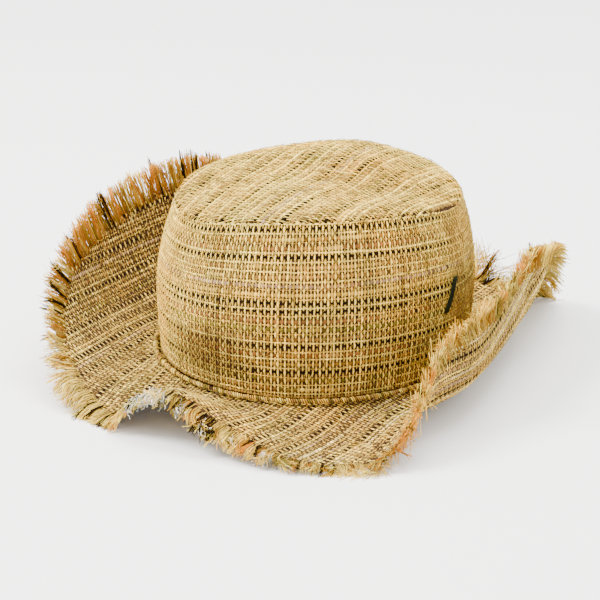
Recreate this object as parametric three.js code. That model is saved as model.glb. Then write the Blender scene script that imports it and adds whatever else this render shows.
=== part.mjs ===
import * as THREE from "three";

// A soft summer hat of coarse straw cloth, resting on its brim. Millimetres, +Z up, the wearer's
// left and right on X, the front of the hat towards -Y. Angles go round the head from +X to +Y.

// Head and crown
const HEAD_LENGTH = 204;      // outside of the crown at its foot, front to back
const HEAD_WIDTH = 172;       // outside of the crown at its foot, side to side
const TIP_LENGTH = 186;       // flat top, front to back
const TIP_WIDTH = 159.5;      // flat top, side to side
const CROWN_HEIGHT = 94;      // foot of the crown to the edge of the flat top
const CROWN_SWELL = 3;        // how far the side band bellies out half way up
const CROWN_ROUND = 4;        // the higher this is, the later the side band turns in to the flat top
const CROWN_LEAN = 3.3;       // the flat top sits this far to the right of the foot
const CROWN_FORWARD = 4;      // and this far in front of it
const FOOT_RISE = 11.4;       // height of the crown's foot above the table
const FOOT_TILT = 2.5;        // the foot is lower on the right by this, and higher on the left
const TIP_DOME = 7;           // rise of the flat top at its middle
const TIP_SHOULDER = 1.5;     // rounded drop at the rim of the flat top
const SHOULDER_START = 0.85;  // share of the way out where that drop begins

// Cloth
const CLOTH = 2.2;            // thickness of the straw cloth
const GAP = 0.3;              // air left between neighbouring pieces

// Brim
const BRIM_WIDTH = 78;        // cloth of the brim from the crown to the frayed edge
const BRIM_SEAT = 3.4;        // part of the brim that runs under the crown wall
const BRIM_STEP = 0.8;        // level strip between the crown wall and the bend of the brim

// Rolled seam round the foot of the crown
const ROLL_RADIUS = 1.6;

// Frayed edge
const FRINGE_BAND = 2.6;      // held strip that the loose ends come out of
const FRINGE_LENGTH = 11;     // loose ends beyond the held strip
const FRINGE_TIP = 0.9;       // thickness of a lock at its tip

// Dark thread end left on the side seam
const THREAD_RISE = 19.5;     // how far it goes up the side band
const THREAD_WIDTH = 5;
const THREAD_THICK = 0.9;
const THREAD_TURN = 339.5;    // degrees round the head where it starts
const THREAD_SLANT = 6.8;     // degrees that it moves round the head on its way up
const THREAD_FOOT = 0.41;     // share of the crown height where it starts
const THREAD_END = 0.5;       // share of its width left at each end

// Number of facets
const ROUND_CROWN = 64;
const ROUND_BRIM = 96;
const UP_CROWN = 8;
const ALONG_BRIM = 8;
const ROUND_ROLL = 6;
const UP_THREAD = 4;
const FINE_STEPS = 24;

// How the brim lies, every fifteen degrees round the head. width: share of BRIM_WIDTH. root, mid and
// edge: slope in degrees where the brim leaves the crown, half way out and at the frayed edge.
// fringe: share of FRINGE_LENGTH. droop: share of the fringe that hangs down from its own line.
const BRIM_ROWS = [
  { turn: 0, width: 0.90, root: -8, mid: 68, edge: 88, fringe: 0.9, droop: 0 },
  { turn: 15, width: 0.92, root: -10, mid: 64, edge: 89, fringe: 1.0, droop: 0 },
  { turn: 30, width: 0.97, root: -14, mid: 48, edge: 82, fringe: 1.1, droop: 0.2 },
  { turn: 45, width: 1.00, root: -8, mid: 32, edge: 46, fringe: 1.1, droop: 0.2 },
  { turn: 60, width: 1.02, root: -12, mid: -6, edge: 12, fringe: 1.0, droop: 0 },
  { turn: 75, width: 0.98, root: -10, mid: -6, edge: 10, fringe: 1.0, droop: 0 },
  { turn: 90, width: 1.01, root: -10, mid: -9, edge: 10, fringe: 1.0, droop: 0 },
  { turn: 105, width: 1.02, root: -10, mid: -8, edge: 12, fringe: 1.0, droop: 0 },
  { turn: 120, width: 1.02, root: 10, mid: 28, edge: 39, fringe: 1.0, droop: 0 },
  { turn: 135, width: 0.99, root: 38, mid: 59, edge: 68, fringe: 1.1, droop: 0 },
  { turn: 150, width: 0.99, root: 40, mid: 67, edge: 75, fringe: 1.2, droop: 0 },
  { turn: 165, width: 0.97, root: 30, mid: 61, edge: 76, fringe: 1.2, droop: 0 },
  { turn: 180, width: 0.93, root: 15, mid: 51, edge: 73, fringe: 1.1, droop: 0 },
  { turn: 195, width: 0.91, root: 4, mid: 41, edge: 66, fringe: 1.0, droop: 0 },
  { turn: 210, width: 0.81, root: -10, mid: 19, edge: 44, fringe: 0.9, droop: 0.1 },
  { turn: 225, width: 0.73, root: -14, mid: 2, edge: 8, fringe: 0.95, droop: 0.3 },
  { turn: 240, width: 0.68, root: -13, mid: -10, edge: -8, fringe: 0.9, droop: 0.3 },
  { turn: 255, width: 0.70, root: -7, mid: 29, edge: -6, fringe: 0.5, droop: 0.4 },
  { turn: 270, width: 0.70, root: -13, mid: 9, edge: -12, fringe: 0.6, droop: 0.4 },
  { turn: 285, width: 0.89, root: -11, mid: -7, edge: 6, fringe: 0.65, droop: 0.2 },
  { turn: 300, width: 0.91, root: -15, mid: -8, edge: 22, fringe: 0.7, droop: 0.2 },
  { turn: 315, width: 0.90, root: -22, mid: 35, edge: 98, fringe: 0.8, droop: 0.1 },
  { turn: 330, width: 0.97, root: -22, mid: 54, edge: 98, fringe: 0.9, droop: 0 },
  { turn: 345, width: 0.86, root: -15, mid: 62, edge: 91, fringe: 0.9, droop: 0 },
];

// Edge of the flat top, every thirty degrees: how far it sags or rises, as a share of CROWN_HEIGHT.
const SEAM_ROWS = [
  { turn: 0, rise: -0.056 },
  { turn: 30, rise: -0.050 },
  { turn: 60, rise: -0.028 },
  { turn: 90, rise: -0.007 },
  { turn: 120, rise: -0.009 },
  { turn: 150, rise: -0.015 },
  { turn: 180, rise: -0.030 },
  { turn: 210, rise: -0.066 },
  { turn: 240, rise: -0.038 },
  { turn: 270, rise: 0.036 },
  { turn: 300, rise: 0.046 },
  { turn: 330, rise: 0.006 },
];

// Bumps and dents in the flat top. across and back: place of the middle as shares of half its width
// and half its length. size: reach as a share of half the width. rise: share of CROWN_HEIGHT.
const DENT_ROWS = [
  { across: 0.05, back: 0.70, size: 0.49, rise: 0.066 },
  { across: 0.24, back: 0.24, size: 0.20, rise: 0.016 },
  { across: 0.60, back: 0.10, size: 0.18, rise: 0.014 },
  { across: 0.00, back: -0.08, size: 0.30, rise: -0.032 },
  { across: 0.48, back: -0.24, size: 0.28, rise: -0.036 },
  { across: -0.42, back: 0.12, size: 0.24, rise: -0.020 },
];

// Places of the rings of corners on the flat top, as shares of the way out.
const TIP_RINGS = [1, 0.96, 0.88, 0.76, 0.62, 0.47, 0.32, 0.16];

// Rhythm of the locks in the fringe. long: share of the fringe length. left, right: where the lock's
// tip begins and ends across its own place. lift: share of its length that it stands off the cloth.
const LOCK_ROWS = [
  { long: 1.00, left: 0.20, right: 0.66, lift: 0.04 },
  { long: 0.78, left: 0.34, right: 0.80, lift: -0.06 },
  { long: 0.92, left: 0.24, right: 0.62, lift: 0.09 },
  { long: 0.66, left: 0.40, right: 0.82, lift: -0.03 },
  { long: 0.96, left: 0.16, right: 0.58, lift: -0.08 },
  { long: 0.84, left: 0.36, right: 0.72, lift: 0.06 },
  { long: 0.72, left: 0.22, right: 0.70, lift: 0.02 },
];

// Colours and finish
const STRAW = { color: 0xc9ab78, roughness: 0.86, metalness: 0 };
const STRAW_BAND = { color: 0xbf9f68, roughness: 0.86, metalness: 0 };
const STRAW_TIP = { color: 0xcbb082, roughness: 0.86, metalness: 0 };
const PALE_ROLL = { color: 0xd8c196, roughness: 0.88, metalness: 0 };
const GOLD_FRINGE = { color: 0xc79a4d, roughness: 0.9, metalness: 0 };
const DARK_THREAD = { color: 0x26241a, roughness: 0.9, metalness: 0 };

const FULL_TURN = 2 * Math.PI;

function radians(degrees) {
  return degrees * Math.PI / 180;
}

// Distance from the middle of an oval to its rim.
function ovalRadius(turn, length, width) {
  return 1 / Math.hypot(Math.cos(turn) / (width / 2), Math.sin(turn) / (length / 2));
}

// A value of a table between its rows, smooth all the way round the head.
function ringValue(rows, turn, name) {
  const count = rows.length;
  const place = (((turn / FULL_TURN) * count) % count + count) % count;
  const row = Math.floor(place);
  const t = place - row;
  const a = rows[(row + count - 1) % count][name];
  const b = rows[row % count][name];
  const c = rows[(row + 1) % count][name];
  const d = rows[(row + 2) % count][name];
  return b + 0.5 * t * (c - a + t * (2 * a - 5 * b + 4 * c - d + t * (3 * (b - c) + d - a)));
}

// Height of the crown's foot, which leans a little to the right.
function footHeight(turn) {
  return FOOT_RISE - FOOT_TILT * Math.cos(turn);
}

// Middle of the brim's cloth. share 0 is the bend at the crown and 1 the frayed edge; below 0 it is
// the level seat under the crown, in millimetres.
function brimPoint(turn, share) {
  const foot = ovalRadius(turn, HEAD_LENGTH, HEAD_WIDTH) + BRIM_STEP;
  let out = Math.min(share, 0);
  let up = 0;
  if (share > 0) {
    const width = ringValue(BRIM_ROWS, turn, "width") * BRIM_WIDTH;
    const root = radians(ringValue(BRIM_ROWS, turn, "root"));
    const mid = radians(ringValue(BRIM_ROWS, turn, "mid"));
    const edge = radians(ringValue(BRIM_ROWS, turn, "edge"));
    for (let k = 0; k < FINE_STEPS; k += 1) {
      const g = (k + 0.5) / FINE_STEPS * share;
      const slope = root * (1 - g) * (1 - 2 * g) + mid * 4 * g * (1 - g) + edge * g * (2 * g - 1);
      out += Math.cos(slope) * width * share / FINE_STEPS;
      up += Math.sin(slope) * width * share / FINE_STEPS;
    }
  }
  const r = foot + out;
  return new THREE.Vector3(r * Math.cos(turn), r * Math.sin(turn), footHeight(turn) + up);
}

// Upward normal of the brim's cloth.
function brimNormal(turn, share) {
  if (share < 0) {
    return new THREE.Vector3(0, 0, 1);
  }
  const step = 0.01;
  const along = brimPoint(turn, share + step).sub(brimPoint(turn, Math.max(share - step, 0)));
  const round = brimPoint(turn + step, share).sub(brimPoint(turn - step, share));
  return along.cross(round).normalize();
}

// Top or underside of the brim. Where the cloth would sink into the table it is pressed flat.
function brimSkin(turn, share, side) {
  const point = brimPoint(turn, share).addScaledVector(brimNormal(turn, share), side * CLOTH / 2);
  point.z = Math.max(point.z, side > 0 ? CLOTH : 0);
  return point;
}

// Outside of the crown's side band, height 0 at the foot and 1 at the edge of the flat top.
function crownRadius(turn, height) {
  const foot = ovalRadius(turn, HEAD_LENGTH, HEAD_WIDTH);
  const top = ovalRadius(turn, TIP_LENGTH, TIP_WIDTH);
  return foot + (top - foot) * height ** CROWN_ROUND + CROWN_SWELL * Math.sin(Math.PI * height);
}

function crownPoint(turn, height, inward) {
  const r = crownRadius(turn, height) - inward;
  const foot = footHeight(turn) + CLOTH / 2 + GAP;
  const top = FOOT_RISE + CROWN_HEIGHT * (1 + ringValue(SEAM_ROWS, turn, "rise"));
  const x = r * Math.cos(turn) + CROWN_LEAN * height;
  const y = r * Math.sin(turn) - CROWN_FORWARD * height;
  return new THREE.Vector3(x, y, foot + (top - foot) * height);
}

// How far the bumps and dents lift the flat top; they fade out at its rim.
function dentRise(turn, share) {
  const r = ovalRadius(turn, TIP_LENGTH, TIP_WIDTH) * share;
  const across = r * Math.cos(turn) / (TIP_WIDTH / 2);
  const back = r * Math.sin(turn) / (TIP_LENGTH / 2);
  const rises = DENT_ROWS.map((row) => {
    const away = Math.hypot(across - row.across, (back - row.back) * TIP_LENGTH / TIP_WIDTH) / row.size;
    return row.rise * Math.exp(-away * away);
  });
  return CROWN_HEIGHT * (1 - share ** 4) * rises.reduce((sum, rise) => sum + rise, 0);
}

// Flat top, share 0 in the middle and 1 at the rim. drop: depth below the outer face.
function tipPoint(turn, share, drop) {
  const r = ovalRadius(turn, TIP_LENGTH, TIP_WIDTH) * share;
  const bend = Math.max(share - SHOULDER_START, 0) / (1 - SHOULDER_START);
  const dome = TIP_DOME * (1 - share * share) + TIP_SHOULDER * Math.sqrt(1 - bend * bend);
  const sag = CROWN_HEIGHT * ringValue(SEAM_ROWS, turn, "rise") * share * share;
  const level = FOOT_RISE + CROWN_HEIGHT + GAP + CLOTH + sag + dentRise(turn, share);
  const x = r * Math.cos(turn) + CROWN_LEAN;
  return new THREE.Vector3(x, r * Math.sin(turn) - CROWN_FORWARD, level + dome - drop);
}

// Frayed edge of the brim: a point on it, the way out of the cloth and the cloth's normal.
function edgeFrame(turn) {
  const step = 0.01;
  const normal = brimNormal(turn, 1);
  const round = brimPoint(turn + step, 1).sub(brimPoint(turn - step, 1)).normalize();
  const out = round.clone().cross(normal).normalize();
  return { point: brimPoint(turn, 1), out, normal };
}

// Collects corners and faces of one closed body.
class Body {
  constructor() {
    this.corners = [];
    this.faces = [];
  }

  add(point) {
    this.corners.push(point.x, point.y, point.z);
    return this.corners.length / 3 - 1;
  }

  row(count, pointAt) {
    return Array.from({ length: count }, (_, i) => this.add(pointAt(FULL_TURN * i / count)));
  }

  quad(a, b, c, d) {
    this.faces.push(a, b, c, a, c, d);
  }

  // Skin between two closed rows of the same count, seen from outside with `low` before `high`.
  skin(low, high) {
    low.forEach((corner, i) => {
      const next = (i + 1) % low.length;
      this.quad(corner, low[next], high[next], high[i]);
    });
  }

  // Skins between a list of rows; the last joins the first again for a ring-shaped body.
  skins(rows, closed) {
    for (let i = 0; i + 1 < rows.length; i += 1) {
      this.skin(rows[i], rows[i + 1]);
    }
    if (closed) {
      this.skin(rows[rows.length - 1], rows[0]);
    }
  }

  fan(row, middle) {
    row.forEach((corner, i) => {
      this.faces.push(corner, row[(i + 1) % row.length], middle);
    });
  }

  mesh(name, finish) {
    const geometry = new THREE.BufferGeometry();
    geometry.setAttribute("position", new THREE.Float32BufferAttribute(this.corners, 3));
    geometry.setIndex(this.faces);
    const mesh = new THREE.Mesh(geometry, new THREE.MeshStandardMaterial(finish));
    mesh.name = name;
    return mesh;
  }
}

// Brim: one ring of cloth from the seat under the crown to the frayed edge.
function makeBrim() {
  const body = new Body();
  const shares = [-(BRIM_SEAT + BRIM_STEP)];
  for (let i = 0; i <= ALONG_BRIM; i += 1) {
    shares.push(i / ALONG_BRIM);
  }
  const under = shares.map((share) => body.row(ROUND_BRIM, (turn) => brimSkin(turn, share, -1)));
  const over = shares.map((share) => body.row(ROUND_BRIM, (turn) => brimSkin(turn, share, 1)));
  body.skins([...under, ...over.reverse()], true);
  return body.mesh("brim", STRAW);
}

// Side band of the crown, open at the head and at the flat top.
function makeCrownSide() {
  const body = new Body();
  const heights = Array.from({ length: UP_CROWN + 1 }, (_, i) => i / UP_CROWN);
  const outer = heights.map((h) => body.row(ROUND_CROWN, (turn) => crownPoint(turn, h, 0)));
  const inner = heights.map((h) => body.row(ROUND_CROWN, (turn) => crownPoint(turn, h, CLOTH)));
  body.skins([...outer, ...inner.reverse()], true);
  return body.mesh("crown_side", STRAW_BAND);
}

// Flat top: a domed and dented plate with a rounded rim.
function makeCrownTip() {
  const body = new Body();
  const over = TIP_RINGS.map((share) => body.row(ROUND_CROWN, (turn) => tipPoint(turn, share, 0)));
  const under = TIP_RINGS.map((share) => body.row(ROUND_CROWN, (turn) => tipPoint(turn, share, CLOTH)));
  const top = body.add(tipPoint(0, 0, 0));
  const bottom = body.add(tipPoint(0, 0, CLOTH));
  body.skins([...under.slice().reverse(), ...over], false);
  body.fan(over[over.length - 1], top);
  const last = under[under.length - 1].slice().reverse();
  body.fan(last, bottom);
  return body.mesh("crown_tip", STRAW_TIP);
}

// Rolled seam lying in the corner between the crown and the brim.
function makeRoll() {
  const body = new Body();
  const clear = ROLL_RADIUS + GAP;
  const rows = [];
  for (let k = 0; k < ROUND_ROLL; k += 1) {
    const angle = FULL_TURN * k / ROUND_ROLL;
    rows.push(body.row(ROUND_CROWN, (turn) => {
      const near = brimSkin(turn, 0, 1);
      const far = brimSkin(turn, 1 / ALONG_BRIM, 1);
      const start = Math.hypot(near.x, near.y);
      const slope = Math.atan2(far.z - near.z, Math.hypot(far.x, far.y) - start);
      const wall = crownRadius(turn, 2 * (clear + CLOTH) / CROWN_HEIGHT) + clear + GAP / 2;
      const rise = (clear + GAP / 2 + (wall - start) * Math.sin(slope)) / Math.cos(slope);
      const r = wall + ROLL_RADIUS * Math.cos(angle);
      const z = near.z + Math.max(rise, clear) + ROLL_RADIUS * Math.sin(angle);
      return new THREE.Vector3(r * Math.cos(turn), r * Math.sin(turn), z);
    }));
  }
  body.skins(rows, true);
  return body.mesh("base_roll", PALE_ROLL);
}

// Frayed edge: a held strip along the brim with tapering locks growing out of it.
function makeFringe() {
  const body = new Body();
  const frames = Array.from({ length: ROUND_BRIM }, (_, i) => edgeFrame(FULL_TURN * i / ROUND_BRIM));
  const place = (frame, out, up, side) => {
    const point = frame.point.clone().addScaledVector(frame.out, out).addScaledVector(frame.normal, up);
    point.z = Math.max(point.z, side > 0 ? FRINGE_TIP : 0);
    return point;
  };
  const half = CLOTH / 2;
  const held = { lowIn: [], highIn: [], lowOut: [], highOut: [] };
  frames.forEach((frame) => {
    held.lowIn.push(body.add(place(frame, GAP, -half, -1)));
    held.highIn.push(body.add(place(frame, GAP, half, 1)));
    held.lowOut.push(body.add(place(frame, GAP + FRINGE_BAND, -half, -1)));
    held.highOut.push(body.add(place(frame, GAP + FRINGE_BAND, half, 1)));
  });
  frames.forEach((frame, i) => {
    const next = (i + 1) % ROUND_BRIM;
    const lock = LOCK_ROWS[i % LOCK_ROWS.length];
    const turn = FULL_TURN * (i + 0.5) / ROUND_BRIM;
    const length = FRINGE_LENGTH * ringValue(BRIM_ROWS, turn, "fringe") * lock.long;
    const droop = length * ringValue(BRIM_ROWS, turn, "droop");
    const corner = (share, side) => {
      const point = frame.point.clone().lerp(frames[next].point, share);
      const out = frame.out.clone().lerp(frames[next].out, 0.5).normalize();
      const normal = frame.normal.clone().lerp(frames[next].normal, 0.5).normalize();
      const up = length * lock.lift + side * FRINGE_TIP / 2;
      point.addScaledVector(out, GAP + FRINGE_BAND + length).addScaledVector(normal, up);
      point.z = Math.max(point.z - droop, side > 0 ? FRINGE_TIP : 0);
      return body.add(point);
    };
    const lowLeft = corner(lock.left, -1);
    const highLeft = corner(lock.left, 1);
    const lowRight = corner(lock.right, -1);
    const highRight = corner(lock.right, 1);
    const h = held;
    body.quad(h.highIn[i], h.highOut[i], h.highOut[next], h.highIn[next]);
    body.quad(h.lowIn[i], h.lowIn[next], h.lowOut[next], h.lowOut[i]);
    body.quad(h.lowIn[i], h.highIn[i], h.highIn[next], h.lowIn[next]);
    body.quad(h.highOut[i], highLeft, highRight, h.highOut[next]);
    body.quad(h.lowOut[i], h.lowOut[next], lowRight, lowLeft);
    body.quad(h.lowOut[i], lowLeft, highLeft, h.highOut[i]);
    body.quad(lowLeft, lowRight, highRight, highLeft);
    body.quad(lowRight, h.lowOut[next], h.highOut[next], highRight);
  });
  return body.mesh("brim_fringe", GOLD_FRINGE);
}

// Dark thread end lying slantwise against the side band, bent with it.
function makeThread() {
  const body = new Body();
  const rows = [];
  for (let i = 0; i <= UP_THREAD; i += 1) {
    const turn = radians(THREAD_TURN + THREAD_SLANT * i / UP_THREAD);
    const height = THREAD_FOOT + (THREAD_RISE / CROWN_HEIGHT) * i / UP_THREAD;
    const half = THREAD_WIDTH / 2 / crownRadius(turn, height);
    const taper = i === 0 || i === UP_THREAD ? THREAD_END : 1;
    const across = [[1, 0], [-1, 0], [-1, 1], [1, 1]];
    rows.push(across.map(([side, face]) => {
      const off = GAP + THREAD_THICK * face;
      return body.add(crownPoint(turn + side * half * taper, height, -off - GAP / 2));
    }));
  }
  for (let i = 0; i < UP_THREAD; i += 1) {
    body.skin(rows[i], rows[i + 1]);
  }
  const low = rows[0];
  const high = rows[UP_THREAD];
  body.quad(low[3], low[2], low[1], low[0]);
  body.quad(high[0], high[1], high[2], high[3]);
  return body.mesh("seam_thread", DARK_THREAD);
}

const hat = new THREE.Group();
hat.name = "straw_hat";
hat.add(makeCrownTip(), makeCrownSide(), makeRoll(), makeBrim(), makeFringe(), makeThread());

// The hat's frame has its origin under the middle of its outline, on the table.
const reach = new THREE.Box3().setFromObject(hat);
const middle = reach.getCenter(new THREE.Vector3());
hat.children.forEach((piece) => {
  piece.geometry.translate(-middle.x, -middle.y, -reach.min.z);
});

export default hat;
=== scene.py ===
import math

import bmesh
import bpy
import numpy as np
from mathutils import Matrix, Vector


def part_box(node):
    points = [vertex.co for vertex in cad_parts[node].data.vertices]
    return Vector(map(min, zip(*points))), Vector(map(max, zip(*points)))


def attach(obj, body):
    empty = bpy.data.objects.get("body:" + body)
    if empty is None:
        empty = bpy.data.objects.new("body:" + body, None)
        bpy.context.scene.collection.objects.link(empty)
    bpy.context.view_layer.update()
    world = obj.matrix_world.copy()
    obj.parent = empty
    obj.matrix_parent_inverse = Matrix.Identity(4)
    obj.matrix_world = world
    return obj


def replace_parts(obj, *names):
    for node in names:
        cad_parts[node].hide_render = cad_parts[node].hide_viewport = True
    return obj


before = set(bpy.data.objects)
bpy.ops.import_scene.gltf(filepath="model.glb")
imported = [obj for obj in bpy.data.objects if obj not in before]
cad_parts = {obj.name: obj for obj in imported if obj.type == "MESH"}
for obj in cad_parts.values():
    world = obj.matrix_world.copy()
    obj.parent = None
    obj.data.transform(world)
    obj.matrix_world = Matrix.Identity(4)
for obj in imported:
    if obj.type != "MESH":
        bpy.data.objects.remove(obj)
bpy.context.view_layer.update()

# A soft summer hat of coarse straw cloth. Lengths are in millimetres here and become metres when a
# mesh is made. Angles go round the head from +X to +Y, and the front of the brim lies towards -Y.

MM = 0.001

# Head and crown, as in the solids
HEAD_LENGTH = 204
HEAD_WIDTH = 172
TIP_LENGTH = 186
TIP_WIDTH = 159.5
CROWN_HEIGHT = 94
CROWN_SWELL = 3
CROWN_ROUND = 4
CROWN_LEAN = 3.3
CROWN_FORWARD = 4
FOOT_RISE = 11.4
FOOT_TILT = 2.5
TIP_DOME = 7
TIP_SHOULDER = 1.5
SHOULDER_START = 0.85
CLOTH = 2.2
GAP = 0.3
BRIM_WIDTH = 78
BRIM_STEP = 0.8
ROLL_RADIUS = 1.6
FRINGE_LENGTH = 11
THREAD_RISE = 19.5
THREAD_TURN = 339.5
THREAD_SLANT = 6.8
THREAD_FOOT = 0.41

BAND_RINGS = 8                # rings of corners up the solid side band

# How the brim lies, every fifteen degrees round the head: share of the brim's width, slopes in
# degrees at the crown, half way and at the edge, share of the fringe's length, and its droop.
BRIM_ROWS = np.array([
    (0.90, -8, 68, 88, 0.9, 0.0), (0.92, -10, 64, 89, 1.0, 0.0), (0.97, -14, 48, 82, 1.1, 0.2),
    (1.00, -8, 32, 46, 1.1, 0.2), (1.02, -12, -6, 12, 1.0, 0.0), (0.98, -10, -6, 10, 1.0, 0.0),
    (1.01, -10, -9, 10, 1.0, 0.0), (1.02, -10, -8, 12, 1.0, 0.0), (1.02, 10, 28, 39, 1.0, 0.0),
    (0.99, 38, 59, 68, 1.1, 0.0), (0.99, 40, 67, 75, 1.2, 0.0), (0.97, 30, 61, 76, 1.2, 0.0),
    (0.93, 15, 51, 73, 1.1, 0.0), (0.91, 4, 41, 66, 1.0, 0.0), (0.81, -10, 19, 44, 0.9, 0.1),
    (0.73, -14, 2, 8, 0.95, 0.3), (0.68, -13, -10, -8, 0.9, 0.3), (0.70, -7, 29, -6, 0.5, 0.4),
    (0.70, -13, 9, -12, 0.6, 0.4), (0.89, -11, -7, 6, 0.65, 0.2), (0.91, -15, -8, 22, 0.7, 0.2),
    (0.90, -22, 35, 98, 0.8, 0.1), (0.97, -22, 54, 98, 0.9, 0.0), (0.86, -15, 62, 91, 0.9, 0.0),
])
WIDTH, ROOT, MIDDLE, EDGE, FRINGE, DROOP = range(6)

# Rise of the flat top's edge, every thirty degrees, as a share of the crown's height
SEAM_RISE = np.array([
    -0.056, -0.050, -0.028, -0.007, -0.009, -0.015, -0.030, -0.066,
    -0.038, 0.036, 0.046, 0.006,
])

# Bumps and dents in the flat top: place across and back, reach, rise as a share of the crown's height
DENT_ROWS = (
    (0.05, 0.70, 0.49, 0.066), (0.24, 0.24, 0.20, 0.016), (0.60, 0.10, 0.18, 0.014),
    (0.00, -0.08, 0.30, -0.032), (0.48, -0.24, 0.28, -0.036), (-0.42, 0.12, 0.24, -0.020),
)

# The weave: thin pale yarns run up the cloth, and rows of thick dyed and thin pale yarn cross them.
# Every second upright yarn lies over the thick rows and shows as an unbroken line.
UP_PITCH = 1.9
PAIR_PITCH = 5.3
UP_WIDTH = 0.96
UP_THICK = 0.8
UP_WAVE = 0.56
DYED_WIDTH = 2.4
BLACK_WIDTH = 1.5
DYED_THICK = 0.8
DYED_WAVE = 0.3
PALE_WIDTH = 0.95
BOLD_WIDTH = 1.6
PALE_THICK = 0.75
PALE_WAVE = 0.5
BRIM_TURN = 13          # degrees that the brim's rows turn from front-back
TIP_TURN = 7            # the same on the flat top


def paint(red, green, blue):
    """A colour as seen, 0 to 255, as the light that a surface gives back."""
    seen = np.array((red, green, blue)) / 255
    return np.where(seen < 0.04045, seen / 12.92, ((seen + 0.055) / 1.055) ** 2.4)


DYES = {
    "cream": paint(252, 220, 104),
    "milk": paint(250, 222, 156),
    "straw": paint(222, 176, 66),
    "tan": paint(158, 120, 58),
    "ochre": paint(164, 120, 42),
    "rust": paint(142, 96, 48),
    "olive": paint(120, 106, 38),
    "mauve": paint(176, 142, 112),
    "fawn": paint(190, 154, 84),
    "brown": paint(84, 52, 20),
    "black": paint(28, 18, 7),
    "gold": paint(200, 150, 30),
    "amber": paint(204, 130, 36),
    "white": paint(238, 232, 214),
    "grey": paint(140, 144, 136),
}

# Rows of dyed yarn down the side band, from the flat top to the foot
BAND_DYES = (
    "black ochre rust black tan tan mauve straw black black "
    "rust olive tan black rust ochre black olive tan tan"
).split()

# Rows of dyed yarn across the brim and the flat top, repeated
BRIM_DYES = (
    "fawn olive black tan mauve tan black fawn tan black mauve black fawn tan black mauve tan black "
    "tan olive black fawn straw black mauve black tan tan black fawn"
).split()
TIP_DYES = (
    "fawn olive black tan straw ochre black tan fawn straw black olive fawn tan black tan mauve "
    "black fawn"
).split()

# The brim's right side is paler
PALE_FROM = 72                # distance from the middle of the head where it starts
PALE_BRIM_DYES = "milk mauve black milk mauve black milk tan black mauve milk black mauve".split()

# Turns of the head between which the band's lower rows are browned: partly a stain in the cloth, partly painted shade
# of the fold at the crown's foot
STAIN_AND_SHADE_FROM = 230
STAIN_AND_SHADE_TO = 272

# The band's own seam: beyond it, over so many degrees, the cloth is browner and its rows fainter
BROWN_PAST_SEAM_FROM = 344
BROWN_PAST_SEAM_WIDE = 48


# ---- Surfaces of the hat, in the part's own place

def oval_radius(turn, length, width):
    return 1 / np.hypot(np.cos(turn) / (width / 2), np.sin(turn) / (length / 2))


def ring_value(values, turn):
    """A value of a table between its rows, smooth all the way round the head."""
    count = len(values)
    place = np.mod(turn / (2 * np.pi) * count, count)
    row = np.floor(place).astype(int)
    t = place - row
    a, b, c, d = (values[(row + k) % count] for k in (-1, 0, 1, 2))
    return b + 0.5 * t * (c - a + t * (2 * a - 5 * b + 4 * c - d + t * (3 * (b - c) + d - a)))


def brim_value(turn, column):
    return ring_value(BRIM_ROWS[:, column], turn)


def foot_height(turn):
    return FOOT_RISE - FOOT_TILT * np.cos(turn)


def brim_middle(turn, share, steps=24):
    turn, share = np.broadcast_arrays(np.asarray(turn, float), np.asarray(share, float))
    width = brim_value(turn, WIDTH) * BRIM_WIDTH
    root, middle, edge = (np.radians(brim_value(turn, k)) for k in (ROOT, MIDDLE, EDGE))
    out = np.zeros(turn.shape)
    up = np.zeros(turn.shape)
    for k in range(steps):
        g = (k + 0.5) / steps * share
        slope = root * (1 - g) * (1 - 2 * g) + middle * 4 * g * (1 - g) + edge * g * (2 * g - 1)
        out += np.cos(slope) * width * share / steps
        up += np.sin(slope) * width * share / steps
    r = oval_radius(turn, HEAD_LENGTH, HEAD_WIDTH) + BRIM_STEP + out
    z = foot_height(turn) + up
    low = CLOTH / 2 + 0.15
    z = low + np.where(z > low, z - low, 0)
    return np.stack([r * np.cos(turn), r * np.sin(turn), z], -1)


def crown_radius(turn, height):
    foot = oval_radius(turn, HEAD_LENGTH, HEAD_WIDTH)
    top = oval_radius(turn, TIP_LENGTH, TIP_WIDTH)
    return foot + (top - foot) * height ** CROWN_ROUND + CROWN_SWELL * np.sin(np.pi * height)


def crown_point(turn, height, inward):
    turn, height = np.broadcast_arrays(np.asarray(turn, float), np.asarray(height, float))
    r = crown_radius(turn, height) - inward
    foot = foot_height(turn) + CLOTH / 2 + GAP
    top = FOOT_RISE + CROWN_HEIGHT * (1 + ring_value(SEAM_RISE, turn))
    x = r * np.cos(turn) + CROWN_LEAN * height
    y = r * np.sin(turn) - CROWN_FORWARD * height
    return np.stack([x, y, foot + (top - foot) * height], -1)


def dent_rise(turn, share):
    r = oval_radius(turn, TIP_LENGTH, TIP_WIDTH) * share
    across = r * np.cos(turn) / (TIP_WIDTH / 2)
    back = r * np.sin(turn) / (TIP_LENGTH / 2)
    total = 0
    for dent_across, dent_back, size, rise in DENT_ROWS:
        away = np.hypot(across - dent_across, (back - dent_back) * TIP_LENGTH / TIP_WIDTH) / size
        total = total + rise * np.exp(-away ** 2)
    return CROWN_HEIGHT * (1 - share ** 4) * total


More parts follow.
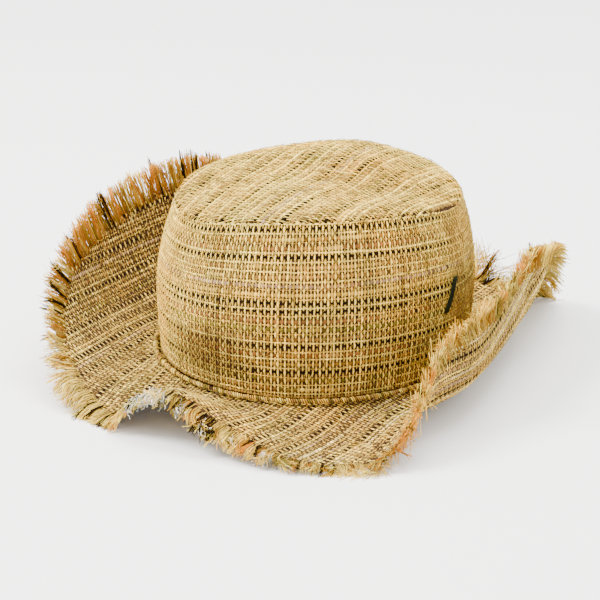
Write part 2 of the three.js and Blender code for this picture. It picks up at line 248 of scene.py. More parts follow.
def tip_middle(turn, share):
    """Middle of the flat top's cloth. Past share 1 it turns down over the edge, to close the seam."""
    turn, share = np.broadcast_arrays(np.asarray(turn, float), np.asarray(share, float))
    inside = np.minimum(share, 1)
    over = (share - inside) * TIP_LENGTH / 2
    rim = oval_radius(turn, TIP_LENGTH, TIP_WIDTH)
    r = (rim - CLOTH / 2) * inside + np.minimum(over, 1) * 0.35
    bend = np.clip((inside - SHOULDER_START) / (1 - SHOULDER_START), 0, 1)
    dome = TIP_DOME * (1 - inside ** 2) + TIP_SHOULDER * np.sqrt(1 - bend ** 2)
    sag = CROWN_HEIGHT * ring_value(SEAM_RISE, turn) * inside ** 2
    level = FOOT_RISE + CROWN_HEIGHT + GAP + CLOTH / 2 + sag + dent_rise(turn, inside)
    edge = 0.9 * np.clip((inside - 0.97) / 0.03, 0, 1) ** 2
    z = level + dome - edge - over
    return np.stack([r * np.cos(turn) + CROWN_LEAN, r * np.sin(turn) - CROWN_FORWARD, z], -1)


def place_of_hat():
    """The solids are centred on their outline: how far that moved them from the middle of the head."""
    low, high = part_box("crown_side")
    heights = np.arange(BAND_RINGS + 1) / BAND_RINGS
    right = (crown_radius(np.zeros(len(heights)), heights) + CROWN_LEAN * heights).max()
    front = crown_radius(np.full(len(heights), 1.5 * np.pi), heights) + CROWN_FORWARD * heights
    return np.array([high.x / MM - right, low.y / MM + front.max(), 0.0])


SHIFT = place_of_hat()


# ---- Meshes

def make_object(name, mesh, finish, smooth=True):
    piece = bpy.data.objects.new(name, mesh)
    bpy.context.collection.objects.link(piece)
    mesh.materials.append(finish)
    if smooth:
        mesh.shade_smooth()
    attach(piece, "root")
    return piece


def tubes(name, points, along, normal, wide, thick, colour, links, starts, ends, sides, finish, node):
    """Joins many short tubes into one mesh: a ring of corners at each point, a wall for each link."""
    along = along / np.maximum(np.linalg.norm(along, axis=1, keepdims=True), 1e-9)
    across = np.cross(normal, along)
    across /= np.maximum(np.linalg.norm(across, axis=1, keepdims=True), 1e-9)
    up = np.cross(along, across)
    angle = 2 * np.pi * np.arange(sides) / sides
    ring = (
        points[:, None]
        + across[:, None] * (np.cos(angle)[None, :, None] * wide[:, None, None] / 2)
        + up[:, None] * (np.sin(angle)[None, :, None] * thick[:, None, None] / 2)
    )
    corners = (ring.reshape(-1, 3) + SHIFT) * MM
    k = np.arange(sides)
    after = (k + 1) % sides
    a, b = links[:, :1] * sides, links[:, 1:] * sides
    walls = np.stack([a + k, a + after, b + after, b + k], -1).reshape(-1, 4)
    first = starts[:, None] * sides + k[::-1]
    last = ends[:, None] * sides + k
    mesh = bpy.data.meshes.new(name)
    mesh.from_pydata(corners.tolist(), [], walls.tolist() + first.tolist() + last.tolist())
    dye = mesh.color_attributes.new("dye", "FLOAT_COLOR", "POINT")
    rgba = np.ones((len(corners), 4))
    rgba[:, :3] = np.repeat(colour, sides, axis=0)
    dye.data.foreach_set("color", rgba.ravel())
    return make_object(name, mesh, finish)


def runs(valid, closed):
    """Links, first and last points of the yarns in a grid whose yarns lie along the second axis."""
    count, length = valid.shape
    index = np.arange(count * length).reshape(count, length)
    following = np.roll(index, -1, 1)
    joined = valid & np.roll(valid, -1, 1)
    if not closed:
        joined[:, -1] = False
    before = np.roll(joined, 1, 1)
    links = np.stack([index[joined], following[joined]], -1)
    return links, index[joined & ~before], index[before & ~joined]


def compact(used, *arrays):
    """Keeps the points in use, and gives the new number of each old one."""
    number = np.cumsum(used) - 1
    return number, [a[used] for a in arrays]


def patches(shape, rng, length):
    """Slow random drift along the second axis, about -1 to 1."""
    count, steps = shape
    knots = rng.normal(0, 1, (count, steps // length + 3))
    x = np.arange(steps) / length + rng.random((count, 1))
    low = np.floor(x).astype(int)
    t = x - low
    t = t * t * (3 - 2 * t)
    rows = np.arange(count)[:, None]
    return knots[rows, low] * (1 - t) + knots[rows, low + 1] * t


def row_colours(dyes, count, rng, broken):
    """Colour of each row and step: its own dye, with stretches where the spinner changed fibre.
    broken is how often a black row fades into tan."""
    rows, steps = count
    out = np.zeros((rows, steps, 3))
    stray = np.array([DYES[d] for d in ("straw", "ochre", "tan", "olive", "brown", "cream", "rust")])
    for j in range(rows):
        base = DYES[dyes[j]]
        drift = patches((1, steps), rng, 9)[0]
        kind = rng.integers(0, len(stray), steps // 6 + 2)
        other = stray[kind[np.arange(steps) // 6]]
        if dyes[j] == "black":
            other = DYES["tan"]
            blend = np.clip((drift - broken) * 2.0, 0, 1)[:, None]
        else:
            blend = np.clip((drift + 0.1) * 0.6, 0.0, 0.7)[:, None]
            speck = (rng.random(steps) < 0.07)[:, None] * 0.8
            base = base * (1 - speck) + DYES["black"] * speck
        shade = 1 + 0.2 * rng.normal(0, 1, (steps, 1)) + 0.12 * patches((1, steps), rng, 16)[0][:, None]
        out[j] = (base * (1 - blend) + other * blend) * np.clip(shade, 0.5, 1.5)
    return out


class Cloth:
    """What sets one woven panel apart: the dyes of its rows and of its upright yarns, how wide its
    thick rows are, how many of its thin rows are bold, how uneven its yarns are, how flat it is
    pressed, how often a black row fades into tan and how many loose hairs lie on it."""

    def __init__(self, dyes, upright, seed, broken, dyed=DYED_WIDTH, black=BLACK_WIDTH, bold=0.5, bold_width=BOLD_WIDTH,
                 uneven=1.0, flat=1.0, raised=0.0, pinch_shade=0.22, under=1.0, hairs=1000):
        self.dyes = dyes
        self.upright = upright
        self.seed = seed
        self.broken = broken
        self.dyed = dyed
        self.black = black
        self.bold = bold
        self.bold_width = bold_width
        # Painted shade of a thick row where it dives under an upright yarn, and of an upright yarn where it dives under
        # a row.
        self.pinch_shade = pinch_shade
        self.under = under
        self.uneven = uneven
        self.flat = flat
        self.raised = raised
        self.hairs = hairs


def stray_hairs(name, grid, normal, side_i, side_j, valid, total, rng):
    """Loose hairs of fibre that lie about on the cloth, mostly along its yarns."""
    places = np.argwhere(valid)
    i, j = places[rng.integers(0, len(places), total)].T
    steps = 3
    t = np.linspace(-0.5, 0.5, steps)[None, :, None]
    angle = rng.normal(0, 0.45, (total, 1)) + np.where(rng.random((total, 1)) < 0.55, np.pi / 2, 0)
    one, two, up = side_i[i, j], side_j[i, j], normal[i, j]
    along = one * np.cos(angle) + two * np.sin(angle)
    aside = two * np.cos(angle) - one * np.sin(angle)
    long = rng.uniform(2.5, 7.5, (total, 1, 1))
    bow = rng.normal(0, 0.9, (total, 1, 1))
    start = grid[i, j] + one * rng.normal(0, 0.8, (total, 1)) + two * rng.normal(0, 0.8, (total, 1))
    high = rng.uniform(0.5, 1.15, (total, 1, 1)) + rng.normal(0, 0.5, (total, 1, 1)) * t
    points = start[:, None] + along[:, None] * long * t + aside[:, None] * bow * t ** 2 * 4 + up[:, None] * high
    names = rng.choice(["cream", "cream", "straw", "straw", "tan", "gold", "brown"], total)
    colour = np.array([DYES[k] for k in names]) * rng.uniform(0.75, 1.1, (total, 1))
    wide = np.repeat(rng.uniform(0.14, 0.27, total), steps)
    links, starts, ends = runs(np.ones((total, steps), bool), False)
    return tubes(
        name + "_stray_hairs", points.reshape(-1, 3), np.repeat(along, steps, axis=0),
        np.repeat(up, steps, axis=0), wide, wide, np.repeat(colour, steps, axis=0),
        links, starts, ends, 3, LOOSE, name,
    )


def weave(name, grid, valid, cloth, closed, stain_and_shade=None, brown_past_seam=None):
    """Yarns of one panel. grid[i, j] is where upright yarn i crosses row j, and the rows take turns:
    even rows are thick and dyed, odd rows thin and pale. Even upright yarns lie over the thick rows."""
    rng = np.random.default_rng(cloth.seed)
    dyes, uneven, node = cloth.dyes, cloth.uneven, name
    count, rows = valid.shape
    if closed:
        step_i = np.roll(grid, -1, 0) - np.roll(grid, 1, 0)
    else:
        step_i = np.gradient(grid, axis=0)
    step_j = np.gradient(grid, axis=1)
    normal = np.cross(step_i, step_j)
    normal /= np.maximum(np.linalg.norm(normal, axis=-1, keepdims=True), 1e-9)
    i, j = np.meshgrid(np.arange(count), np.arange(rows), indexing="ij")
    over = np.where((i + j) % 2 == 0, 1.0, -1.0)
    thick_row = j % 2 == 0
    main_yarn = i % 2 == 0

    side_i = step_i / np.maximum(np.linalg.norm(step_i, axis=-1, keepdims=True), 1e-9)
    side_j = step_j / np.maximum(np.linalg.norm(step_j, axis=-1, keepdims=True), 1e-9)
    # The hand that wove it left rows and yarns a little uneven.
    grid = grid + side_j * (0.3 * patches((rows, count), rng, 24).T)[..., None]
    grid = grid + side_i * (0.16 * patches((count, rows), rng, 8))[..., None]
    wobble = rng.normal(0, 0.1, (count, rows))[..., None]

    # Upright yarns
    lift = cloth.raised + cloth.flat * UP_WAVE * over * np.where(thick_row, 1.0, 0.8) + rng.normal(0, 0.05, (count, rows))
    points = grid + normal * lift[..., None] + side_i * wobble
    links, starts, ends = runs(valid, False)
    wide = UP_WIDTH * (1 + 0.1 * rng.normal(0, 1, (count, 1)) + 0.12 * rng.normal(0, 1, (count, rows)))
    wide = wide * np.where(over > 0, 1.05, 0.8) * np.where(main_yarn, 1.05, 0.92)
    shade = 1 + 0.16 * rng.normal(0, 1, (count, 1)) + 0.12 * uneven * rng.normal(0, 1, (count, rows))
    # Painted shade: a yarn is darkened where it dives under a row, the thin ones most of all.
    shade = shade * np.where(over > 0, 1.0, cloth.under * np.where(main_yarn, 0.7, 0.42))
    mix = np.clip(0.3 + 0.12 * (i % 2) + 0.3 * patches((count, rows), rng, 9), 0, 1)[..., None]
    light, dark = (DYES[k] for k in cloth.upright)
    colour = (light * (1 - mix) + dark * mix) * np.clip(shade, 0.3, 1.3)[..., None]
    # Brown on the band's lower rows: partly a stain, partly painted shade of the fold.
    if stain_and_shade is not None:
        depth = 0.6 * stain_and_shade(rows, count).T[..., None]
        colour = colour * (1 - depth) + DYES["brown"] * depth
    # Past the band's seam the yarns are mixed towards brown.
    if brown_past_seam is not None:
        depth = 0.6 * brown_past_seam[:, None, None] * rng.uniform(0.5, 1.3, (count, rows, 1))
        colour = colour * (1 - depth) + DYES["tan"] * 0.8 * depth
    used = np.zeros(count * rows, bool)
    used[links.ravel()] = True
    number, kept = compact(
        used, points.reshape(-1, 3), step_j.reshape(-1, 3), normal.reshape(-1, 3),
        np.clip(wide, 0.45, 1.3).ravel(), np.full(count * rows, UP_THICK * (0.4 + 0.6 * cloth.flat)),
        colour.reshape(-1, 3),
    )
    upright = tubes(name + "_upright_yarns", *kept, number[links], number[starts], number[ends], 4, YARN, node)

    # Rows
    turned = np.swapaxes(valid, 0, 1)
    wave = np.where(thick_row, DYED_WAVE, PALE_WAVE)
    lift = -cloth.flat * wave * over + rng.normal(0, 0.05, (count, rows))
    slack = rng.normal(0, 0.12, (count, rows))[..., None]
    points = grid + normal * lift[..., None] + side_j * slack
    bold = rng.random(rows) < cloth.bold
    pale = np.where(bold, "cream", rng.choice(["straw", "tan", "straw"], rows))
    thin = np.where(bold, cloth.bold_width, 0.8 * PALE_WIDTH)
    every = [dyes[(k // 2) % len(dyes)] if k % 2 == 0 else pale[k] for k in range(rows)]
    full = np.array([
        thin[k] if k % 2 else (cloth.black if every[k] == "black" else cloth.dyed) for k in range(rows)
    ])
    full = full * np.clip(1 + 0.12 * uneven * rng.normal(0, 1, rows), 0.75, 1.3)
    wide = full[None, :] * (1 + 0.13 * rng.normal(0, 1, (count, rows)))
    # A row is squeezed and shaded where it dives under a main upright yarn.
    wide = wide * np.where(over > 0, np.where(thick_row, 0.38, 0.75), 1.0)
    thick = np.where(thick_row, DYED_THICK, PALE_THICK)
    links, starts, ends = runs(turned, closed)
    colour = row_colours(every, (rows, count), rng, cloth.broken)
    # Brown on the band's lower rows: partly a stain, partly painted shade of the fold.
    if stain_and_shade is not None:
        depth = stain_and_shade(rows, count)[..., None]
        colour = colour * (1 - depth) + DYES["brown"] * depth
    # Past the band's seam the rows are mixed towards tan and made fainter.
    if brown_past_seam is not None:
        depth = np.clip(0.6 * brown_past_seam[None, :, None] * rng.uniform(0.4, 1.4, (rows, count, 1)), 0, 1)
        colour = colour * (1 - depth) + DYES["tan"] * 0.9 * depth
    # Painted shade: a row is darkened where it dives under an upright yarn, thick rows most of all.
    colour = colour * np.where(over > 0, np.where(thick_row, cloth.pinch_shade, 0.6), 1.0).T[..., None]
    used = np.zeros(count * rows, bool)
    used[links.ravel()] = True
    flip = lambda array: np.swapaxes(array, 0, 1).reshape(count * rows, -1)
    number, kept = compact(
        used, flip(points), flip(step_i), flip(normal),
        flip(np.clip(wide, 0.4, 3.0)).ravel(), flip(thick).ravel(), colour.reshape(-1, 3),
    )
    crossing = tubes(name + "_row_yarns", *kept, number[links], number[starts], number[ends], 5, YARN, node)
    if cloth.hairs:
        stray_hairs(name, grid, normal, side_i, side_j, valid, cloth.hairs, rng)
    return upright, crossing


# ---- Finishes

def finish_nodes(name):
    material = bpy.data.materials.new(name)
    material.use_nodes = True
    nodes = material.node_tree.nodes
    return material, nodes, material.node_tree.links, nodes["Principled BSDF"]


def noise(nodes, links, where, scale, detail=2.0, rough=0.5):
    node = nodes.new("ShaderNodeTexNoise")
    node.inputs["Scale"].default_value = scale
    node.inputs["Detail"].default_value = detail
    node.inputs["Roughness"].default_value = rough
    links.new(where, node.inputs["Vector"])
    return node.outputs["Fac"]


def spread(nodes, links, value, low, high, to_low, to_high):
    node = nodes.new("ShaderNodeMapRange")
    node.inputs["From Min"].default_value = low
    node.inputs["From Max"].default_value = high
    node.inputs["To Min"].default_value = to_low
    node.inputs["To Max"].default_value = to_high
    links.new(value, node.inputs["Value"])
    return node.outputs["Result"]


def multiply_colour(nodes, links, colour, factor):
    node = nodes.new("ShaderNodeVectorMath")
    node.operation = "SCALE"
    links.new(colour, node.inputs[0])
    links.new(factor, node.inputs["Scale"])
    return node.outputs["Vector"]


def times(nodes, links, one, two):
    node = nodes.new("ShaderNodeMath")
    node.operation = "MULTIPLY"
    links.new(one, node.inputs[0])
    links.new(two, node.inputs[1])
    return node.outputs["Value"]


def relief(nodes, links, shader, height, strength, distance):
    node = nodes.new("ShaderNodeBump")
    node.inputs["Strength"].default_value = strength
    node.inputs["Distance"].default_value = distance
    links.new(height, node.inputs["Height"])
    links.new(node.outputs["Normal"], shader.inputs["Normal"])


def yarn_finish(name, sheen):
    """Spun straw fibre: the dye on the yarn, flecked and roughened by its loose fibres."""
    material, nodes, links, shader = finish_nodes(name)
    where = nodes.new("ShaderNodeTexCoord").outputs["Object"]
    dye = nodes.new("ShaderNodeAttribute")
    dye.attribute_name = "dye"
    fleck = noise(nodes, links, where, 1500, 3, 0.65)
    soil = noise(nodes, links, where, 45, 3, 0.55)
    factor = times(
        nodes, links,
        spread(nodes, links, fleck, 0.3, 0.7, 0.72, 1.22),
        spread(nodes, links, soil, 0.3, 0.7, 0.76, 1.14),
    )
    tint = nodes.new("ShaderNodeMix")
    tint.data_type = "RGBA"
    tint.blend_type = "MULTIPLY"
    tint.inputs["B"].default_value = (1.0, 0.86, 0.64, 1)
    links.new(spread(nodes, links, noise(nodes, links, where, 22, 3, 0.6), 0.42, 0.66, 0, 0.9), tint.inputs["Factor"])
    links.new(multiply_colour(nodes, links, dye.outputs["Color"], factor), tint.inputs["A"])
    links.new(tint.outputs["Result"], shader.inputs["Base Color"])
    links.new(spread(nodes, links, fleck, 0.3, 0.7, 0.95, 0.7), shader.inputs["Roughness"])
    shader.inputs["Sheen Weight"].default_value = sheen
    shader.inputs["Sheen Roughness"].default_value = 0.5
    shader.inputs["Sheen Tint"].default_value = (1.0, 0.85, 0.6, 1)
    shader.inputs["Specular IOR Level"].default_value = 0.03
    relief(nodes, links, shader, fleck, 0.5, 0.00025)
    return material


def ground_finish(name, low, high):
    """The inside of the cloth that shows between its yarns, painted dark as the shade that lies in the gaps."""
    material, nodes, links, shader = finish_nodes(name)
    where = nodes.new("ShaderNodeTexCoord").outputs["Object"]
    fleck = noise(nodes, links, where, 900, 3, 0.6)
    ramp = nodes.new("ShaderNodeMix")
    ramp.data_type = "RGBA"
    ramp.inputs["A"].default_value = (*low, 1)
    ramp.inputs["B"].default_value = (*high, 1)
    links.new(spread(nodes, links, fleck, 0.35, 0.65, 0, 1), ramp.inputs["Factor"])
    links.new(ramp.outputs["Result"], shader.inputs["Base Color"])
    links.new(spread(nodes, links, fleck, 0.3, 0.7, 0.98, 0.8), shader.inputs["Roughness"])
    shader.inputs["Specular IOR Level"].default_value = 0.1
    relief(nodes, links, shader, fleck, 0.6, 0.0004)
    return material


YARN = yarn_finish("spun_straw", 0.01)
LOOSE = yarn_finish("loose_straw_ends", 0.01)
# Dark colours painted as the shade that lies between the yarns.
GROUND = ground_finish("cloth_between_yarns", paint(30, 19, 9), paint(70, 45, 19))
BRIM_GROUND = ground_finish("brim_cloth_between_yarns", paint(36, 24, 11), paint(76, 53, 27))


# ---- Ground cloth: a thin sheet in the middle of each panel

def sheet_from_grid(name, across, along, surface, closed, thick, node, finish):
    """Shapes a flat grid to a surface given by two shares, joins its seam and gives it a thickness."""
    form = bmesh.new()
    bmesh.ops.create_grid(form, x_segments=across, y_segments=along, size=0.5)
    flat = np.array([v.co[:] for v in form.verts])
    where = surface(flat[:, 0] + 0.5, flat[:, 1] + 0.5)
    for vertex, point in zip(form.verts, (where + SHIFT) * MM):
        vertex.co = point
    if closed:
        bmesh.ops.remove_doubles(form, verts=form.verts, dist=0.00001)
    bmesh.ops.recalc_face_normals(form, faces=form.faces)
    bmesh.ops.solidify(form, geom=list(form.faces), thickness=thick * MM)
    bmesh.ops.recalc_face_normals(form, faces=form.faces)
    mesh = bpy.data.meshes.new(name)
    form.to_mesh(mesh)
    form.free()
    piece = make_object(name, mesh, finish)
    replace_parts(piece, node)
    return piece


GROUND_THICK = 0.3
UNDER_CROWN = 0.045            # share of the brim's width that runs in under the side band


def band_surface(u, v):
    return crown_point(2 * np.pi * u, v, CLOTH / 2)


def tip_surface(u, v):
    return tip_middle(2 * np.pi * u, v)


def brim_surface(u, v):
    return brim_middle(2 * np.pi * u, v * (0.965 + UNDER_CROWN) - UNDER_CROWN)


side_cloth = sheet_from_grid("crown_side_ground", 128, 24, band_surface, True, GROUND_THICK, "crown_side", GROUND)
tip_cloth = sheet_from_grid("crown_tip_ground", 96, 24, tip_surface, True, GROUND_THICK, "crown_tip", GROUND)
brim_cloth = sheet_from_grid("brim_ground", 192, 28, brim_surface, True, GROUND_THICK, "brim", BRIM_GROUND)


# ---- Woven panels

def weave_side_band():
    turn = np.linspace(0, 2 * np.pi, 1441)
    rim = crown_point(turn, 0.5, 0)
    length = np.concatenate([[0], np.cumsum(np.linalg.norm(np.diff(rim, axis=0), axis=1))])
    count = 2 * round(length[-1] / UP_PITCH / 2)
    rows = 2 * len(BAND_DYES)
    turns = np.interp(np.arange(count) / count * length[-1], length, turn)
    down = np.arange(rows) * 1.004 / rows - 0.004
    heights = 1 - down
    grid = crown_point(turns[:, None], heights[None, :], CLOTH / 2)
    valid = np.ones((count, rows), bool)

    degrees = np.degrees(turns)

    # Brown on the lower rows here: partly a stain in the cloth, partly painted shade of the fold.
    def stain_and_shade(rows, count):
        inside = np.clip((degrees - STAIN_AND_SHADE_FROM) / 14, 0, 1) * np.clip((STAIN_AND_SHADE_TO - degrees) / 16, 0, 1)
        low = np.clip(1.5 - np.abs(np.arange(rows) / rows - 0.22) / 0.12, 0, 1)
        return 0.85 * low[:, None] * inside[None, :]

    past_seam = np.mod(degrees - BROWN_PAST_SEAM_FROM, 360)
    brown_past_seam = np.clip(past_seam / 1.5, 0, 1) * np.clip((BROWN_PAST_SEAM_WIDE - past_seam) / 8, 0, 1)
    cloth = Cloth(list(reversed(BAND_DYES)), ("cream", "straw"), 11, 1.6, bold=0.6, bold_width=1.1, hairs=1800)
    return weave("crown_side", grid[:, ::-1], valid, cloth, True, stain_and_shade, brown_past_seam)


TIP_OVERHANG = 1.008           # how far the flat top's yarns turn down over its edge


def weave_flat_top():
    reach = TIP_LENGTH / 2 + 4
    a = np.arange(-reach, reach, UP_PITCH)
    rows = int(2 * reach / (PAIR_PITCH / 2))
    b = (np.arange(rows) - rows / 2) * PAIR_PITCH / 2
    turn = math.radians(TIP_TURN)
    # Rows run along (sin, cos) of the turn and follow each other across it.
    A, B = np.meshgrid(a, b, indexing="ij")
    x = A * math.sin(turn) + B * math.cos(turn)
    y = A * math.cos(turn) - B * math.sin(turn)
    angle = np.arctan2(y, x)
    share = np.hypot(x, y) / oval_radius(angle, TIP_LENGTH, TIP_WIDTH)
    grid = tip_middle(angle, np.minimum(share, 1.05))
    valid = (share <= TIP_OVERHANG)[:, ::-1]
    cloth = Cloth(TIP_DYES, ("cream", "straw"), 23, 0.7, dyed=2.2, black=2.6, uneven=3.4, flat=0.6, under=0.55, hairs=1000)
    return weave("crown_tip", grid[:, ::-1], valid, cloth, False)


def ring_area(ring):
    after = np.roll(ring, -1, 0)
    return abs((ring[:, 0] * after[:, 1] - ring[:, 1] * after[:, 0]).sum()) / 2


class LaidFlat:
    """The brim's cloth laid flat without stretching it, so that its rows are straight in the cloth."""

    ROUND = 96
    ALONG = 9

    def __init__(self):
        n, m = self.ROUND, self.ALONG
        turn, share = np.meshgrid(
            2 * np.pi * np.arange(n) / n, np.linspace(0, 1, m), indexing="ij"
        )
        solid = brim_middle(turn, share)
        r = oval_radius(turn, HEAD_LENGTH, HEAD_WIDTH) + brim_value(turn, WIDTH) * BRIM_WIDTH * share
        flat = np.stack([r * np.cos(turn), r * np.sin(turn)], -1).reshape(-1, 2)
        number = np.arange(n * m).reshape(n, m)
        after = np.roll(number, -1, 0)
        faces = np.concatenate([
            np.stack([number[:, :-1], number[:, 1:], after[:, 1:]], -1).reshape(-1, 3),
            np.stack([number[:, :-1], after[:, 1:], after[:, :-1]], -1).reshape(-1, 3),
        ])
        corners = solid.reshape(-1, 3)[faces]
        first = corners[:, 1] - corners[:, 0]
        normal = np.cross(first, corners[:, 2] - corners[:, 0])
        first /= np.linalg.norm(first, axis=1, keepdims=True)
        normal /= np.linalg.norm(normal, axis=1, keepdims=True)
        # Faces run the other way round in the flat cloth, which is seen from above.
        second = -np.cross(normal, first)
        from_first = corners - corners[:, :1]
        local = np.stack([(from_first * first[:, None]).sum(-1), (from_first * second[:, None]).sum(-1)], -1)
        guess = flat[faces]
        area = np.cross(guess[:, 1] - guess[:, 0], guess[:, 2] - guess[:, 0])
        local_area = np.cross(local[:, 1] - local[:, 0], local[:, 2] - local[:, 0])
        local[:, :, 1] *= np.sign(area * local_area)[:, None]
        weight = np.zeros((len(faces), 3))
        for k in range(3):
            one = corners[:, (k + 1) % 3] - corners[:, k]
            two = corners[:, (k + 2) % 3] - corners[:, k]
            weight[:, k] = (one * two).sum(-1) / np.linalg.norm(np.cross(one, two), axis=1)
        pull = np.zeros((n * m, n * m))
        for k in range(3):
            i, j = faces[:, (k + 1) % 3], faces[:, (k + 2) % 3]
            half = weight[:, k] / 2
            np.add.at(pull, (i, i), half)
            np.add.at(pull, (j, j), half)
            np.add.at(pull, (i, j), -half)
            np.add.at(pull, (j, i), -half)
        settle = np.linalg.inv(pull + np.eye(n * m) * 1e-6)
        for _ in range(60):
            now = flat[faces]
            cosine = np.zeros(len(faces))
            sine = np.zeros(len(faces))
            for k in range(3):
                i, j = (k + 1) % 3, (k + 2) % 3
                was = local[:, i] - local[:, j]
                step = now[:, i] - now[:, j]
                cosine += weight[:, k] * (step * was).sum(-1)
                sine += weight[:, k] * (step[:, 1] * was[:, 0] - step[:, 0] * was[:, 1])
            size = np.hypot(cosine, sine)
            cosine, sine = cosine / size, sine / size
            wanted = np.zeros((n * m, 2))
            for k in range(3):
                i, j = (k + 1) % 3, (k + 2) % 3
                was = local[:, i] - local[:, j]
                turned = np.stack(
                    [cosine * was[:, 0] - sine * was[:, 1], sine * was[:, 0] + cosine * was[:, 1]], -1
                ) * (weight[:, k] / 2)[:, None]
                np.add.at(wanted, faces[:, i], turned)
                np.add.at(wanted, faces[:, j], -turned)
            flat = settle @ wanted
            flat -= flat.mean(0)
        ring = flat.reshape(n, m, 2)[:, 0]
        ring = ring - ring.mean(0)
        head = solid[:, 0, :2] - solid[:, 0, :2].mean(0)
        angle = np.arctan2(
            (ring[:, 0] * head[:, 1] - ring[:, 1] * head[:, 0]).sum(), (ring * head).sum()
        )
        turn_back = np.array([[np.cos(angle), np.sin(angle)], [-np.sin(angle), np.cos(angle)]])
        flat = (flat @ turn_back).reshape(n, m, 2)
        flat -= flat[:, 0].mean(0)
        self.size = flat.reshape(-1, 2).max(0) - flat.reshape(-1, 2).min(0)
        self.area = ring_area(flat[:, -1]) - ring_area(flat[:, 0])
        before = 2 * flat[:, :1] - flat[:, 1:2]
        beyond = 2 * flat[:, -1:] - flat[:, -2:-1]
        self.flat = np.concatenate([before, flat, beyond], 1)

    def at(self, turn, share):
        """Where a point of the brim lies in the flat cloth."""
        x = np.mod(turn / (2 * np.pi) * self.ROUND, self.ROUND)
        y = np.clip(share * (self.ALONG - 1) + 1, 0.0, self.ALONG)
        i = np.floor(x).astype(int)
        j = np.clip(np.floor(y).astype(int), 0, self.ALONG)
        t, s = (x - i)[..., None], (y - j)[..., None]

        def smooth(a, b, c, d, t):
            return b + 0.5 * t * (c - a + t * (2 * a - 5 * b + 4 * c - d + t * (3 * (b - c) + d - a)))

        columns = []
        for k in (-1, 0, 1, 2):
            jj = np.clip(j + k, 0, self.ALONG + 1)
            columns.append(smooth(*(self.flat[(i + q) % self.ROUND, jj] for q in (-1, 0, 1, 2)), t))
        return smooth(*columns, s)

    def find(self, target):
        """Turn and share of points given in the flat cloth, and whether they lie on the brim."""
        turn = np.arctan2(target[..., 1], target[..., 0])
        foot = oval_radius(turn, HEAD_LENGTH, HEAD_WIDTH)
        width = brim_value(turn, WIDTH) * BRIM_WIDTH
        share = np.clip((np.hypot(target[..., 0], target[..., 1]) - foot) / width, -0.1, 1.1)
        step = 0.002
        for _ in range(16):
            here = self.at(turn, share)
            by_turn = (self.at(turn + step, share) - here) / step
            by_share = (self.at(turn, share + step) - here) / step
            miss = target - here
            det = by_turn[..., 0] * by_share[..., 1] - by_turn[..., 1] * by_share[..., 0]
            det = np.where(np.abs(det) < 1e-6, 1e-6, det)
            d_turn = (miss[..., 0] * by_share[..., 1] - miss[..., 1] * by_share[..., 0]) / det
            d_share = (by_turn[..., 0] * miss[..., 1] - by_turn[..., 1] * miss[..., 0]) / det
            turn = turn + np.clip(d_turn, -0.15, 0.15)
            share = np.clip(share + np.clip(d_share, -0.2, 0.2), -0.12, 1.12)
        miss = np.linalg.norm(target - self.at(turn, share), axis=-1)
        return turn, share, miss < 0.05


def weave_brim(laid):
    low = laid.flat.reshape(-1, 2).min(0) - 10
    high = laid.flat.reshape(-1, 2).max(0) + 10
    reach = float(max(-low.min(), high.max())) + 10
    a = np.arange(-reach, reach, UP_PITCH)
    rows = 2 * int(reach / (PAIR_PITCH / 2))
    b = (np.arange(rows) - rows // 2) * PAIR_PITCH / 2
    turn = math.radians(BRIM_TURN)
    A, B = np.meshgrid(a, b, indexing="ij")
    target = np.stack([A * math.sin(turn) + B * math.cos(turn), A * math.cos(turn) - B * math.sin(turn)], -1)
    angle, share, found = laid.find(target)
    grid = brim_middle(angle, np.clip(share, -0.05, 1.05))
    valid = found & (share > -UNDER_CROWN) & (share < 1.0)
    dyes = []
    for k in range(0, rows, 2):
        side = PALE_BRIM_DYES if b[k] > PALE_FROM else BRIM_DYES
        dyes.append(side[k // 2 % len(side)])
    cloth = Cloth(
        list(reversed(dyes)), ("cream", "fawn"), 37, 1.2, dyed=2.9, black=2.5, bold=0.5, uneven=2.0, under=0.7,
        flat=0.55, raised=0.1, pinch_shade=0.4, hairs=3000,
    )
    return weave("brim", grid[:, ::-1], valid[:, ::-1], cloth, False)


laid_flat = LaidFlat()
weave_side_band()
weave_flat_top()
weave_brim(laid_flat)


# ---- Rolled seam round the foot of the crown

def roll_middle(turn):
    near = brim_middle(turn, np.zeros_like(turn))
    far = brim_middle(turn, np.full_like(turn, 0.125))
    start = np.hypot(near[:, 0], near[:, 1])
    slope = np.arctan2(far[:, 2] - near[:, 2], np.hypot(far[:, 0], far[:, 1]) - start)
    clear = ROLL_RADIUS + GAP
    wall = crown_radius(turn, 2 * (clear + CLOTH) / CROWN_HEIGHT) + clear + GAP / 2
    rise = (clear + GAP / 2 + (wall - start) * np.sin(slope)) / np.cos(slope)
    z = near[:, 2] + CLOTH / 2 + np.maximum(rise, clear)
    return np.stack([wall * np.cos(turn), wall * np.sin(turn), z], -1)


